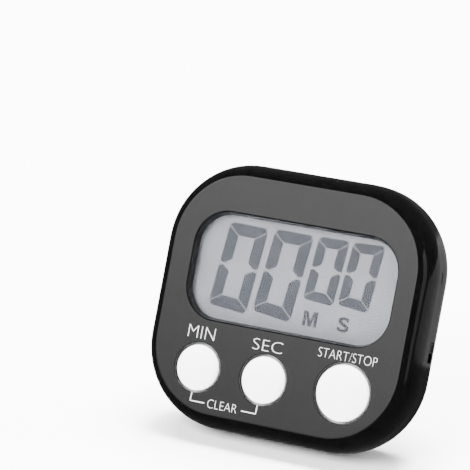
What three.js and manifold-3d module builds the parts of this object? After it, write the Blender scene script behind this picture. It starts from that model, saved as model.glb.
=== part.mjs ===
// Digital countdown timer that leans on a fold-out stand.
// Millimetres. Every piece is drawn in the case's own upright frame: X to the right, Y from
// the front face to the back, Z up along the case, with y = 0 on the flat front face and
// x = z = 0 at its centre. The whole case is then leaned back until it rests on the stand.
import * as THREE from "three";
import { mergeVertices } from "three/addons/utils/BufferGeometryUtils.js";
import Module from "manifold-3d";

const wasm = await Module();
wasm.setup();

// ---------------------------------------------------------------- driving dimensions
const gap = 0.2; // between neighbouring pieces that touch
const runGap = 0.3; // round pieces that move
const leanDeg = 24; // how far the case leans back on its stand

const caseWidth = 80;
const caseHeight = 73.4;
const caseDepth = 20;
const caseCornerR = 23.3;
const wall = 2; // side and back walls
const faceWall = 2.3; // front face
const frontEdgeOut = 4; // front edge, a quarter of an ellipse: this far out ...
const frontEdgeDepth = 7.2; // ... over this depth
const rearEdgeR = 9;
const seamDepth = 15; // where the front housing meets the rear cover
const lipDepth = 2;
const lipWall = 1;

const window = { x: 0.3, z: 7.5, width: 60.7, height: 29.9, r: 9.56 };
const windowMargin = 1.5; // how far the lens runs behind the opening's edge
const lensThickness = 1;
const glassThickness = 2.2;
const glassMargin = 0.7;
const ledgeHeight = 2.4; // contact ledge along the bottom of the display glass
const frameThickness = 1.7;
const frameRim = 2.2;

const buttons = [
  { name: "button_min", x: -22.3, z: -20.9, holeR: 6.8 },
  { name: "button_sec", x: -2.3, z: -20.8, holeR: 6.95 },
  { name: "button_start_stop", x: 21.2, z: -20.1, holeR: 8.2 },
];
const buttonGap = 0.35;
const buttonDome = 1.1; // the cap's crown stands this far in front of the face
const buttonEdge = 0.35; // where the crown meets the cap's side
const buttonTravel = 0.8;
const flangeOut = 1.1;
const flangeThickness = 1;
const stemR = 2;
const stemLength = 1.4;

const boardThickness = 1.2;
const boardFront = 8.4;
const boardWidth = 63.2;
const boardUp = 3.3; // the board's lower edge above the case's
const boardBottomR = 18;
const boardTopR = 2;
const keypad = { width: 60, rim: 1, sheet: 1.2, bumpR: 2.6 };
const zebraWidth = 56;
const zebraThickness = 1.6;

const caseScrew = { shankR: 1, headR: 1.9, headH: 1.4, length: 8 };
const caseScrewIn = 5.4; // from the case's sides
const caseScrewDown = 19.7; // from its upper edge
const caseScrewUp = 21.2; // from its lower edge
const screwFloor = 1; // rear cover left under a screw head, which keeps the head sunk
const bossR = 2.4;
const pillarR = 3.2;
const boardPostR = 1.7;
const boardPostX = [-12.5, 11.5]; // the two under the window
const lowPost = { x: 9.5, up: 5.4 }; // and one above the case's lower edge
const boardScrew = { shankR: 0.7, headR: 1.5, headH: 1, length: 5 };

const cellR = 5.25;
const cellLength = 43.3;
const cellNubR = 1.8;
const cellNub = 1.2;
const cellDown = 10.9; // its axis below the case's upper edge
const tubWall = 0.85;
const tubLength = 50;
const contactT = 0.4;
const springLength = 2.4;
const springR = 2.6;
const springWireR = 0.3;
const springTurns = 3;

const doorWidth = 50.8;
const doorBelow = 6.5; // the door's lower edge below the cell's axis
const doorRail = 1; // side rails that run in the rear cover's grooves
const doorRailT = 1.1;
const doorInner = 17.5; // depth of the door's inner face

const magnetR = 10;
const magnetT = 3;
const magnetDown = 21; // below the stand's hinge
const magnetProud = 0.3;
const floorWall = 1.2; // under the stand's recess and the magnet's pocket

const standHingeUp = 46.7; // above the case's lower edge
const standLength = 42; // hinge axis to foot
const standWidth = 37;
const standLeg = 5;
const standBar = 6;
const standT = 2.2;
const standCornerR = 4;
const standSink = 0.2; // folded, the stand lies this far under the back
const pinR = 1.2;
const pinLength = 1.5;

const slot = { z: -5.2, length: 5.6, width: 2.6, depth: 10.5 };
const catchSlit = { z: 15, length: 3.4, width: 0.5, depth: 9, deep: 0.6 }; // over a snap catch
const knob = { length: 2.8, width: 1.8, shy: 0.15 }; // shy of the case's side
const switchBody = { length: 8.4, depth: 4.2, width: 4.4 };
const switchWell = 1.6; // how deep the knob sits in the switch

const sounder = { z: 2, discT: 0.4, rim: 1.8, ceramicT: 0.3, seatWall: 1, behind: 1.4 };
const soundHoleR = 0.7;
const soundRingR = 2.7;
const soundHoles = 6;
const wireR = 0.35;

const cornerSegments = 6;
const frontEdgeSegments = 5;
const rearEdgeSegments = 6;
const roundSides = 16; // on bars, bosses and holes
const fineSides = 28; // on the buttons, the battery and the magnet
const samePoint = 1e-6;

// ---------------------------------------------------------------- derived sizes
const lean = THREE.MathUtils.degToRad(leanDeg);
const innerBack = caseDepth - wall;
const lensFront = faceWall + gap;
const glassFront = lensFront + lensThickness + gap;
const glassBack = glassFront + glassThickness;
const frameBack = boardFront - gap;
const frameFront = frameBack - frameThickness;
const boardBack = boardFront + boardThickness;
const upperEdge = caseHeight / 2;
const lowerEdge = -upperEdge;
const cellY = doorInner - gap - cellR;
const cellZ = upperEdge - cellDown;
const doorBottom = cellZ - doorBelow;
const tubR = cellR + gap;
const tubOuterR = tubR + tubWall;
const boardTop = cellZ - tubOuterR - gap;
const boardBottom = lowerEdge + boardUp;
const postRow = window.z - window.height / 2 - windowMargin - boardPostR - gap;
const boardPosts = [
  ...boardPostX.map((x) => ({ x, z: postRow })),
  { x: lowPost.x, z: lowerEdge + lowPost.up },
];
const flangeFront = faceWall + gap;
const stemTip = flangeFront + flangeThickness + stemLength;
const keypadBack = boardFront - gap;
const keypadFront = keypadBack - keypad.sheet;
const keypadTop = postRow - boardPostR - gap;
const keypadBottom = Math.min(...buttons.map((b) => b.z - b.holeR)) - keypad.rim;
const bumpFront = stemTip + buttonTravel + gap;
const standHingeZ = lowerEdge + standHingeUp;
const magnetZ = standHingeZ - magnetDown;
const standY = caseDepth - standSink - standT / 2;
const recessFloor = standY - standT / 2 - runGap;
const recessWidth = standWidth + 2 * runGap;
const magnetFloor = caseDepth + magnetProud - magnetT - gap;
const padFront = Math.min(recessFloor, magnetFloor) - floorWall;
const padHalf = recessWidth / 2 + pinLength + floorWall;
const sounderBack = innerBack - sounder.behind;
const sounderRoom = innerHalfWidth(sounderBack) - padHalf; // beside the stand's recess
const sounderR = sounderRoom / 2 - gap;
const sounderX = -padHalf - sounderRoom / 2;
const screwX = caseWidth / 2 - caseScrewIn;
const bossTop = seamDepth - gap;
const headSeat = seamDepth + screwFloor;

// Half the room between the side walls at a depth on the rear edge's curve.
function innerHalfWidth(depth) {
  const r = rearEdgeR - wall;
  const over = Math.max(depth - (innerBack - r), 0);
  return caseWidth / 2 - wall - r + Math.sqrt(r * r - over * over);
}

// ---------------------------------------------------------------- solids
function solid(geometry) {
  const bare = geometry.clone();
  bare.deleteAttribute("normal");
  bare.deleteAttribute("uv");
  const merged = mergeVertices(bare, 1e-4);
  return new wasm.Manifold(
    new wasm.Mesh({
      numProp: 3,
      vertProperties: new Float32Array(merged.attributes.position.array),
      triVerts: new Uint32Array(merged.index.array),
    }),
  );
}

const join = (first, ...rest) => rest.reduce((sum, s) => sum.add(s), first);
const cut = (first, ...rest) => rest.reduce((left, s) => left.subtract(s), first);

function piece(name, shape, material) {
  const mesh = shape.getMesh();
  const geometry = new THREE.BufferGeometry();
  geometry.setAttribute("position", new THREE.BufferAttribute(mesh.vertProperties, 3));
  geometry.setIndex(new THREE.BufferAttribute(mesh.triVerts, 1));
  geometry.computeVertexNormals();
  const made = new THREE.Mesh(geometry, material.clone());
  made.name = name;
  return made;
}

// A shape's outline as points, without the doubled ones where an arc meets a line.
function outlineOf(shape, curveSegments = cornerSegments) {
  const kept = [];
  for (const p of shape.getPoints(curveSegments)) {
    if (kept.every((q) => q.distanceTo(p) > samePoint)) kept.push(p);
  }
  return new THREE.Shape(kept);
}

// A rounded rectangle on x and z, from its four sides and the radii of its corners.
function roundRect(left, right, bottom, top, rBottom, rTop = rBottom) {
  const s = new THREE.Shape();
  s.moveTo(left + rBottom, bottom);
  s.lineTo(right - rBottom, bottom);
  s.absarc(right - rBottom, bottom + rBottom, rBottom, -Math.PI / 2, 0, false);
  s.lineTo(right, top - rTop);
  s.absarc(right - rTop, top - rTop, rTop, 0, Math.PI / 2, false);
  s.lineTo(left + rTop, top);
  s.absarc(left + rTop, top - rTop, rTop, Math.PI / 2, Math.PI, false);
  s.lineTo(left, bottom + rBottom);
  s.absarc(left + rBottom, bottom + rBottom, rBottom, Math.PI, 1.5 * Math.PI, false);
  return s;
}

const centred = (x, z, width, height, r) =>
  roundRect(x - width / 2, x + width / 2, z - height / 2, z + height / 2, r);

// A flat shape on x and z, made thick from depth y0 to depth y1.
function plate(shape, y0, y1, curveSegments = cornerSegments) {
  const outline = outlineOf(shape, curveSegments);
  const g = new THREE.ExtrudeGeometry(outline, { depth: y1 - y0, bevelEnabled: false });
  return solid(g.rotateX(Math.PI / 2).translate(0, y1, 0));
}

function block(x0, x1, y0, y1, z0, z1) {
  const g = new THREE.BoxGeometry(x1 - x0, y1 - y0, z1 - z0);
  return solid(g.translate((x0 + x1) / 2, (y0 + y1) / 2, (z0 + z1) / 2));
}

// A round bar along the depth.
function post(x, z, r, y0, y1, segments = roundSides) {
  const g = new THREE.CylinderGeometry(r, r, y1 - y0, segments);
  return solid(g.translate(x, (y0 + y1) / 2, z));
}

// A round bar across the case.
function rod(y, z, r, x0, x1, segments = fineSides) {
  const g = new THREE.CylinderGeometry(r, r, x1 - x0, segments).rotateZ(Math.PI / 2);
  return solid(g.translate((x0 + x1) / 2, y, z));
}

// The case's outer form moved in by inset on all sides, front and back.
function caseForm(inset, frontInset = inset) {
  const width = caseWidth - 2 * inset;
  const height = caseHeight - 2 * inset;
  const outline = outlineOf(centred(0, 0, width, height, caseCornerR - inset));
  const out = Math.max(frontEdgeOut - inset / 2, 1);
  const over = frontEdgeDepth - frontInset / 2;
  const r = rearEdgeR - inset;
  const long = 3 * caseDepth;
  const front = new THREE.ExtrudeGeometry(outline, {
    depth: long,
    bevelThickness: over,
    bevelSize: out,
    bevelOffset: -out,
    bevelSegments: frontEdgeSegments,
  });
  const rear = new THREE.ExtrudeGeometry(outline, {
    depth: long,
    bevelThickness: r,
    bevelSize: r,
    bevelOffset: -r,
    bevelSegments: rearEdgeSegments,
  });
  front.rotateX(Math.PI / 2).translate(0, long + over + frontInset, 0);
  rear.rotateX(Math.PI / 2).translate(0, caseDepth - inset - r, 0);
  return solid(front).intersect(solid(rear));
}

const wide = caseWidth + caseHeight;
const slab = (y0, y1) => block(-wide, wide, y0, y1, -wide, wide);

// ---------------------------------------------------------------- materials
const plastic = (color, roughness = 0.35) =>
  new THREE.MeshStandardMaterial({ color, roughness, metalness: 0 });
const metal = (color, roughness = 0.3) =>
  new THREE.MeshStandardMaterial({ color, roughness, metalness: 1 });
const black = plastic(0x0b0b0c, 0.15);
const matteBlack = plastic(0x151516, 0.6);
const white = plastic(0xf4f4f2, 0.3);
const boardGreen = plastic(0x2d5a38, 0.5);
const steel = metal(0xb8babd);
const nickel = metal(0xc9c6bd);
const brass = metal(0xc9a45a);
const clear = new THREE.MeshStandardMaterial({ color: 0xeef2f4, roughness: 0.05, opacity: 0.25 });

// ---------------------------------------------------------------- case shells
const caseScrews = [
  { name: "case_screw_top_left", x: -screwX, z: upperEdge - caseScrewDown },
  { name: "case_screw_top_right", x: screwX, z: upperEdge - caseScrewDown },
  { name: "case_screw_bottom_left", x: -screwX, z: lowerEdge + caseScrewUp },
  { name: "case_screw_bottom_right", x: screwX, z: lowerEdge + caseScrewUp },
];
const outer = caseForm(0);
const inner = caseForm(wall, faceWall);

const slotCut = () =>
  block(
    caseWidth / 2 - 2 * wall,
    caseWidth,
    slot.depth - slot.width / 2,
    slot.depth + slot.width / 2,
    slot.z - slot.length / 2,
    slot.z + slot.length / 2,
  );

const slitCut = () =>
  block(
    caseWidth / 2 - catchSlit.deep,
    caseWidth,
    catchSlit.depth - catchSlit.width / 2,
    catchSlit.depth + catchSlit.width / 2,
    catchSlit.z - catchSlit.length / 2,
    catchSlit.z + catchSlit.length / 2,
  );

function frontHousing() {
  const shell = cut(outer, inner).intersect(slab(-1, seamDepth));
  const bosses = caseScrews.map((s) => post(s.x, s.z, bossR, faceWall / 2, bossTop));
  const bores = caseScrews.map((s) =>
    post(s.x, s.z, caseScrew.shankR + gap, bossTop - caseScrew.length - 1, caseDepth, 12),
  );
  const posts = boardPosts.map((s) =>
    post(s.x, s.z, boardPostR, faceWall / 2, boardFront - gap),
  );
  const pilots = boardPosts.map((s) =>
    post(s.x, s.z, boardScrew.shankR + gap, boardFront - boardScrew.length + 0.5, caseDepth, 10),
  );
  const opening = plate(centred(window.x, window.z, window.width, window.height, window.r), -1, 9);
  const holes = buttons.map((b) => post(b.x, b.z, b.holeR, -1, faceWall + 1, fineSides));
  const solidShell = join(shell, ...bosses, ...posts).intersect(outer);
  return piece(
    "front_housing",
    cut(solidShell, opening, slotCut(), slitCut(), ...holes, ...bores, ...pilots),
    black,
  );
}

// The hollow that the battery lies in, grown by a margin, open to the back.
function cellTrough(margin, x0, x1) {
  const r = tubR + margin;
  return join(
    rod(cellY, cellZ, r, x0, x1),
    block(x0, x1, cellY, doorInner + margin, cellZ - r, cellZ + r),
  );
}

// Room for the battery door with its side rails, open at the top edge of the case.
function doorRoom(margin) {
  const half = doorWidth / 2 + margin;
  const railBack = doorInner + doorRailT + margin;
  const top = caseHeight;
  return join(
    block(-half, half, doorInner - margin, 2 * caseDepth, doorBottom - margin, top),
    block(-half - doorRail, half + doorRail, doorInner - margin, railBack, doorBottom - margin, top),
    block(-half, half, seamDepth + 2 * gap - margin, 2 * caseDepth, cellZ + tubOuterR + gap, top),
  );
}

function rearCover() {
  const skin = cut(outer, inner).intersect(slab(seamDepth + gap, 2 * caseDepth));
  const lipOuter = caseForm(wall + gap).intersect(slab(seamDepth - lipDepth, seamDepth + 2 * gap));
  const lip = cut(
    lipOuter,
    caseForm(wall + gap + lipWall),
    ...caseScrews.map((s) => post(s.x, s.z, bossR + gap, 0, seamDepth)),
    block(switchLeft() - gap, caseWidth, 0, seamDepth, switchLow() - gap, switchHigh() + gap),
  );
  const pad = block(-padHalf, padHalf, padFront, innerBack + 1, -caseHeight / 2, standHingeZ + 3.5);
  const tub = cellTrough(tubWall, -tubLength / 2 - tubWall, tubLength / 2 + tubWall);
  const ledge = block(
    -doorWidth / 2 - 2 * doorRail - gap,
    doorWidth / 2 + 2 * doorRail + gap,
    doorInner - tubWall - gap,
    innerBack + 1,
    doorBottom - 2 * gap - tubWall,
    cellZ + tubR,
  );
  const pillars = caseScrews.map((s) => post(s.x, s.z, pillarR, seamDepth + gap, caseDepth));
  const within = outer.intersect(slab(seamDepth + gap, 2 * caseDepth));
  const grown = join(
    skin,
    lip,
    pad.intersect(within),
    tub.intersect(caseForm(wall + gap)),
    ledge.intersect(within),
    ...pillars.map((p) => p.intersect(within)),
    sounderSeat(),
  );
  return piece(
    "rear_cover",
    cut(
      grown,
      cellTrough(0, -tubLength / 2, tubLength / 2),
      doorRoom(gap),
      standRecess(),
      post(0, magnetZ, magnetR + gap, magnetFloor, 2 * caseDepth, fineSides),
      ...caseScrews.map((s) => post(s.x, s.z, caseScrew.shankR + gap, 0, caseDepth, 12)),
      ...caseScrews.map((s) => post(s.x, s.z, caseScrew.headR + gap, headSeat, 2 * caseDepth)),
      ...soundHoleCuts(),
      ...contactSlots(),
    ),
    matteBlack,
  );
}

// ---------------------------------------------------------------- stand and its recess
// A recess that follows the stand round, with an island flush with the back inside the loop.
function standRecess() {
  const half = recessWidth / 2;
  const island = standWidth / 2 - standLeg - runGap;
  const top = standHingeZ + standT / 2 + runGap;
  const barTop = standHingeZ - standLength + standBar;
  const islandR = standCornerR / 2;
  return join(
    cut(
      block(-half, half, recessFloor, 2 * caseDepth, -caseHeight, top),
      plate(roundRect(-island, island, barTop + runGap, caseHeight, islandR, 0), 0, 3 * caseDepth),
    ),
    rod(standY, standHingeZ, pinR + gap, -half - pinLength, half + pinLength, roundSides),
  );
}

// Drawn folded, with its hinge axis on the origin.
function standSolid() {
  const half = standWidth / 2;
  const open = half - standLeg;
  const foot = -standLength - standT / 2; // the surface it stands on trims it to length
  const loop = cut(
    plate(roundRect(-half, half, foot, 0, standCornerR, 0), -standT / 2, standT / 2),
    plate(
      roundRect(-open, open, standBar - standLength, standT, standCornerR / 2, 0),
      -standT,
      standT,
    ),
  );
  const knuckles = [-1, 1].map((side) => {
    const a = side * half;
    const b = side * open;
    return rod(0, 0, standT / 2, Math.min(a, b), Math.max(a, b), roundSides);
  });
  const pins = [-1, 1].map((side) => {
    const a = side * (half - 1);
    const b = side * (half + pinLength);
    return rod(0, 0, pinR, Math.min(a, b), Math.max(a, b), roundSides);
  });
  return join(loop, ...knuckles, ...pins);
}

// ---------------------------------------------------------------- battery compartment
const contactZ = cellZ - tubR;
function contactSolid(side) {
  const x = side * (tubLength / 2 - gap - contactT / 2);
  const half = contactT / 2;
  const tongue = 1.4;
  return join(
    block(x - half, x + half, cellY - 3.4, cellY + 3.4, contactZ + 1.6, cellZ + 3.6),
    block(x - half, x + half, cellY - tongue, cellY + tongue, boardTop - 2, contactZ + 2),
    block(x - half, x + half, boardBack + gap, cellY, boardTop - 3.2, boardTop - 1.6),
  );
}

function contactSlots() {
  return [-1, 1].map((side) => {
    const x = side * (tubLength / 2 - gap - contactT / 2);
    const half = contactT / 2 + gap;
    const reach = cellY - 1.4 - gap;
    return block(x - half, x + half, reach, cellY + 1.4 + gap, contactZ - 3, contactZ + 2);
  });
}

class SpringCurve extends THREE.Curve {
  getPoint(t, target = new THREE.Vector3()) {
    const angle = 2 * Math.PI * springTurns * t;
    const r = springR * (1 - 0.35 * t);
    return target.set(springLength * t, r * Math.cos(angle), r * Math.sin(angle));
  }
}

function ringShape(r, sides = 8) {
  const s = new THREE.Shape();
  for (let i = 0; i <= sides; i++) {
    const a = (2 * Math.PI * i) / sides;
    const at = [r * Math.cos(a), r * Math.sin(a)];
    if (i) s.lineTo(...at);
    else s.moveTo(...at);
  }
  return s;
}

function springSolid() {
  const g = new THREE.ExtrudeGeometry(ringShape(springWireR, 6), {
    steps: 10 * springTurns,
    extrudePath: new SpringCurve(),
    bevelEnabled: false,
  });
  const x = -tubLength / 2 + gap + contactT + gap + springWireR;
  return solid(g.translate(x, cellY, cellZ));
}

function cellSolid() {
  const end = tubLength / 2 - gap - contactT - gap;
  const profile = [
    [0, 0],
    [cellR - 0.3, 0],
    [cellR, 0.3],
    [cellR, cellLength - 0.4],
    [cellR - 0.4, cellLength],
    [cellNubR + 1, cellLength],
    [cellNubR, cellLength],
    [cellNubR, cellLength + cellNub],
    [0, cellLength + cellNub],
  ].map(([r, h]) => new THREE.Vector2(r, h));
  const g = new THREE.LatheGeometry(profile, fineSides).rotateZ(-Math.PI / 2);
  return solid(g.translate(end - cellLength - cellNub, cellY, cellZ));
}

function doorSolid() {
  const shell = cut(outer, inner).intersect(slab(doorInner, 2 * caseDepth));
  const wrap = cut(outer, inner).intersect(
    block(-wide, wide, seamDepth + 2 * gap, caseDepth, cellZ + tubOuterR + 2 * gap, wide),
  );
  const plateBack = outer.intersect(slab(doorInner, 2 * caseDepth));
  const grip = [0, 1, 2].map((i) =>
    rod(caseDepth + 0.25, doorBottom + 3 + 1.6 * i, 0.5, -6, 6, 12),
  );
  return cut(join(shell, wrap, plateBack).intersect(doorRoom(0)), ...grip);
}

// ---------------------------------------------------------------- display
const lensOutline = (margin) =>
  centred(
    window.x,
    window.z,
    window.width + 2 * margin,
    window.height + 2 * margin,
    window.r + margin,
  );

function lensSolid() {
  return plate(lensOutline(windowMargin), lensFront, lensFront + lensThickness);
}

const glassSides = () => ({
  left: window.x - window.width / 2 - glassMargin,
  right: window.x + window.width / 2 + glassMargin,
  bottom: window.z - window.height / 2 - glassMargin,
  top: window.z + window.height / 2 + glassMargin,
});

function glassSolid() {
  const g = glassSides();
  const middle = (glassFront + glassBack) / 2;
  return join(
    block(g.left, g.right, glassFront, middle + 0.01, g.bottom, g.top),
    block(g.left, g.right, middle, glassBack, g.bottom + ledgeHeight, g.top),
  );
}

function reflectorSolid() {
  const g = glassSides();
  return block(
    g.left + 0.5,
    g.right - 0.5,
    glassBack + 0.1,
    glassBack + 0.35,
    g.bottom + ledgeHeight + 0.4,
    g.top - 0.5,
  );
}

function displayFrame() {
  const g = glassSides();
  const top = Math.min(boardTop, g.top);
  const ring = cut(
    block(g.left, g.right, frameFront, frameBack, g.bottom, top),
    block(
      g.left + frameRim,
      g.right - frameRim,
      0,
      caseDepth,
      g.bottom + ledgeHeight + frameRim,
      top - frameRim,
    ),
    block(
      window.x - zebraWidth / 2 - gap,
      window.x + zebraWidth / 2 + gap,
      0,
      caseDepth,
      g.bottom + gap + 0.4,
      g.bottom + 3 * gap + 0.4 + zebraThickness - gap,
    ),
  );
  return cut(ring, ...boardPosts.map((p) => post(p.x, p.z, boardPostR + gap, 0, caseDepth)));
}

function zebraSolid() {
  const g = glassSides();
  const low = g.bottom + 2 * gap + 0.4;
  return block(
    window.x - zebraWidth / 2,
    window.x + zebraWidth / 2,
    (glassFront + glassBack) / 2 + gap,
    frameBack,
    low,
    low + zebraThickness - 2 * gap,
  );
}

// ---------------------------------------------------------------- buttons and keypad
function buttonSolid({ x, z, holeR }) {
  const r = holeR - buttonGap;
  const flangeBack = flangeFront + flangeThickness;
  const profile = new THREE.Path();
  profile.moveTo(0, -buttonDome);
  profile.bezierCurveTo(0.6 * r, -buttonDome, r, -0.4 * buttonDome, r, buttonEdge);
  profile.lineTo(r, flangeFront);
  profile.lineTo(r + flangeOut, flangeFront);
  profile.lineTo(r + flangeOut, flangeBack);
  profile.lineTo(stemR, flangeBack);
  profile.lineTo(stemR, stemTip);
  profile.lineTo(0, stemTip);
  return solid(new THREE.LatheGeometry(profile.getPoints(6), fineSides).translate(x, 0, z));
}

function keypadSolid() {
  const half = keypad.width / 2;
  const sheet = plate(roundRect(-half, half, keypadBottom, keypadTop, 6), keypadFront, keypadBack, 4);
  const bumps = buttons.map((b) => {
    const g = new THREE.CylinderGeometry(
      keypad.bumpR + 0.8,
      keypad.bumpR,
      keypadFront - bumpFront + 0.1,
      20,
    );
    return solid(g.translate(b.x, (keypadFront + 0.1 + bumpFront) / 2, b.z));
  });
  return cut(
    join(sheet, ...bumps),
    ...boardPosts.map((p) => post(p.x, p.z, boardPostR + gap, 0, caseDepth)),
  );
}

// ---------------------------------------------------------------- board and what is on it
function boardSolid() {
  const outline = roundRect(
    -boardWidth / 2,
    boardWidth / 2,
    boardBottom,
    boardTop,
    boardBottomR,
    boardTopR,
  );
  return cut(
    plate(outline, boardFront, boardBack),
    ...boardPosts.map((p) => post(p.x, p.z, boardScrew.shankR + gap, 0, caseDepth, 12)),
  );
}

function chipBlob() {
  const r = 5;
  const h = 1.5;
  const profile = new THREE.Path();
  profile.moveTo(0, 0);
  profile.lineTo(r, 0);
  profile.bezierCurveTo(0.95 * r, 0.6 * h, 0.5 * r, h, 0, h);
  const points = profile.getPoints(6);
  points[points.length - 1].x = 0;
  return solid(new THREE.LatheGeometry(points, 24).translate(-6, boardBack + gap, 2));
}

function crystalSolid() {
  return rod(boardBack + gap + 1, -4, 1, 6, 12, 14);
}

function screwSolid(x, z, spec, seat) {
  const head = post(x, z, spec.headR, seat, seat + spec.headH);
  const shank = post(x, z, spec.shankR, seat - spec.length, seat + 0.1, 12);
  const arm = spec.headR * 0.6;
  const slotW = spec.headR * 0.14;
  const deep = seat + spec.headH * 0.45;
  return cut(
    join(head, shank),
    block(x - arm, x + arm, deep, caseDepth * 2, z - slotW, z + slotW),
    block(x - slotW, x + slotW, deep, caseDepth * 2, z - arm, z + arm),
  );
}

// ---------------------------------------------------------------- on/off switch
const switchRight = () => innerHalfWidth(slot.depth + switchBody.depth / 2) - gap;
const switchLeft = () => switchRight() - switchBody.width;
const switchLow = () => slot.z - switchBody.length / 2;
const switchHigh = () => slot.z + switchBody.length / 2;

function switchSolid() {
  const left = switchLeft();
  const right = switchRight();
  const front = slot.depth - switchBody.depth / 2;
  const body = block(left, right, front, front + switchBody.depth, switchLow(), switchHigh());
  const well = block(
    right - switchWell,
    right + 1,
    slot.depth - knob.width / 2 - runGap,
    slot.depth + knob.width / 2 + runGap,
    slot.z - slot.length / 2,
    slot.z + slot.length / 2,
  );
  return cut(body, well);
}

function knobSolid() {
  const left = switchRight() - switchWell + runGap;
  const right = caseWidth / 2 - knob.shy;
  const top = slot.z + slot.length / 2 - gap;
  return block(
    left,
    right,
    slot.depth - knob.width / 2,
    slot.depth + knob.width / 2,
    top - knob.length,
    top,
  );
}

// ---------------------------------------------------------------- sounder
function sounderSeat() {
  const front = sounderBack + gap;
  const ring = cut(
    post(sounderX, sounder.z, sounderR, front, innerBack + 0.5, fineSides),
    post(sounderX, sounder.z, sounderR - sounder.seatWall, 0, innerBack, fineSides),
  );
  return ring.intersect(outer);
}

function soundHoleCuts() {
  const ring = Array.from({ length: soundHoles }, (_, i) => (2 * Math.PI * i) / soundHoles);
  const places = ring.map((a) => [soundRingR * Math.cos(a), soundRingR * Math.sin(a)]);
  return [[0, 0], ...places].map(([x, z]) =>
    post(sounderX + x, sounder.z + z, soundHoleR, innerBack - 1, 2 * caseDepth, 10),
  );
}

function wireSolid(from, to, bow) {
  const path = new THREE.CatmullRomCurve3([
    from,
    from.clone().add(new THREE.Vector3(0, -1.2, 0)),
    from.clone().lerp(to, 0.5).add(bow),
    to.clone().add(new THREE.Vector3(0, 1.2, 0)),
    to,
  ]);
  return solid(
    new THREE.ExtrudeGeometry(ringShape(wireR), { steps: 20, extrudePath: path, bevelEnabled: false }),
  );
}

// ---------------------------------------------------------------- assembly
const timer = new THREE.Group();
const body = new THREE.Group();
body.rotation.x = -lean;
timer.add(body);

const shells = new THREE.Group();
shells.add(frontHousing(), rearCover());
body.add(shells);
body.add(piece("display_lens", lensSolid(), clear));
body.add(piece("lcd_glass", glassSolid(), plastic(0xc9ccd1, 0.2)));
body.add(piece("lcd_reflector", reflectorSolid(), metal(0xd5d8dc, 0.5)));
body.add(piece("lcd_frame", displayFrame(), white));
body.add(piece("zebra_connector", zebraSolid(), plastic(0xd8a0a0, 0.6)));
for (const b of buttons) body.add(piece(b.name, buttonSolid(b), white));
body.add(piece("keypad_membrane", keypadSolid(), plastic(0xb9bdc2, 0.8)));
body.add(piece("circuit_board", boardSolid(), boardGreen));
body.add(piece("chip_blob", chipBlob(), plastic(0x0a0a0a, 0.25)));
body.add(piece("crystal", crystalSolid(), steel));

const smallParts = [
  { name: "capacitor_1", x: 15, z: 3, w: 2, h: 1.2, t: 1 },
  { name: "capacitor_2", x: 15, z: -1, w: 2, h: 1.2, t: 1 },
  { name: "resistor_1", x: 3, z: 9, w: 2, h: 1.2, t: 0.6 },
  { name: "resistor_2", x: 8, z: 9, w: 2, h: 1.2, t: 0.6 },
];
for (const { name, x, z, w, h, t } of smallParts) {
  const shape = block(x - w / 2, x + w / 2, boardBack + gap, boardBack + gap + t, z - h / 2, z + h / 2);
  body.add(piece(name, shape, plastic(0x8a7a62, 0.5)));
}

for (const s of caseScrews) {
  body.add(piece(s.name, screwSolid(s.x, s.z, caseScrew, headSeat + gap), steel));
}
boardPosts.forEach((p, i) => {
  const shape = screwSolid(p.x, p.z, boardScrew, boardBack + gap);
  body.add(piece("board_screw_" + (i + 1), shape, steel));
});

body.add(piece("switch_body", switchSolid(), steel));
body.add(piece("switch_knob", knobSolid(), plastic(0x2a2a2c, 0.5)));
body.add(piece("battery_cell", cellSolid(), plastic(0x3c6fb0, 0.4)));
body.add(piece("battery_spring", springSolid(), nickel));
body.add(piece("battery_contact_minus", contactSolid(-1), nickel));
body.add(piece("battery_contact_plus", contactSolid(1), nickel));
body.add(piece("battery_door", doorSolid(), matteBlack));
body.add(
  piece(
    "magnet",
    post(0, magnetZ, magnetR, magnetFloor + gap, caseDepth + magnetProud, fineSides),
    metal(0x4a4a4c, 0.6),
  ),
);
const disc = sounderBack;
const ceramic = disc - sounder.discT - gap;
const ceramicFront = ceramic - sounder.ceramicT;
body.add(
  piece(
    "piezo_disc",
    post(sounderX, sounder.z, sounderR, disc - sounder.discT, disc, fineSides),
    brass,
  ),
  piece(
    "piezo_ceramic",
    post(sounderX, sounder.z, sounderR - sounder.rim, ceramicFront, ceramic, fineSides),
    plastic(0xe6e2d6, 0.6),
  ),
);
[
  { name: "sounder_wire_red", at: 0.45, color: 0xb02020 },
  { name: "sounder_wire_black", at: -0.45, color: 0x161616 },
].forEach(({ name, at, color }) => {
  const off = at * sounderR;
  const from = new THREE.Vector3(sounderX, ceramicFront - gap, sounder.z + off);
  const to = new THREE.Vector3(sounderX + 6, boardBack + gap, sounder.z + 1.6 * off);
  const bow = new THREE.Vector3(0.5, 0, off / 3);
  body.add(piece(name, wireSolid(from, to, bow), plastic(color, 0.5)));
});

// The stand swings out until its foot reaches the surface that the case stands on.
body.updateMatrixWorld(true);
const caseLow = new THREE.Box3().setFromObject(shells, true).min.z;
const hinge = new THREE.Group();
hinge.position.set(0, standY, standHingeZ);
body.add(hinge);
timer.updateMatrixWorld(true);
const hingeHeight = hinge.getWorldPosition(new THREE.Vector3()).z - caseLow;
const standAngle = Math.acos(hingeHeight / standLength);
hinge.rotation.x = lean + standAngle;
const ground = solid(
  new THREE.BoxGeometry(2 * wide, 2 * wide, standLength)
    .translate(0, 0, -standLength / 2 - hingeHeight)
    .rotateX(-standAngle),
);
hinge.add(piece("stand", cut(standSolid(), ground), matteBlack));

timer.updateMatrixWorld(true);
const bounds = new THREE.Box3().setFromObject(timer, true);
timer.position.set(
  -(bounds.min.x + bounds.max.x) / 2,
  -(bounds.min.y + bounds.max.y) / 2,
  -bounds.min.z,
);

export default timer;
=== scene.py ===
import math

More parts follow.
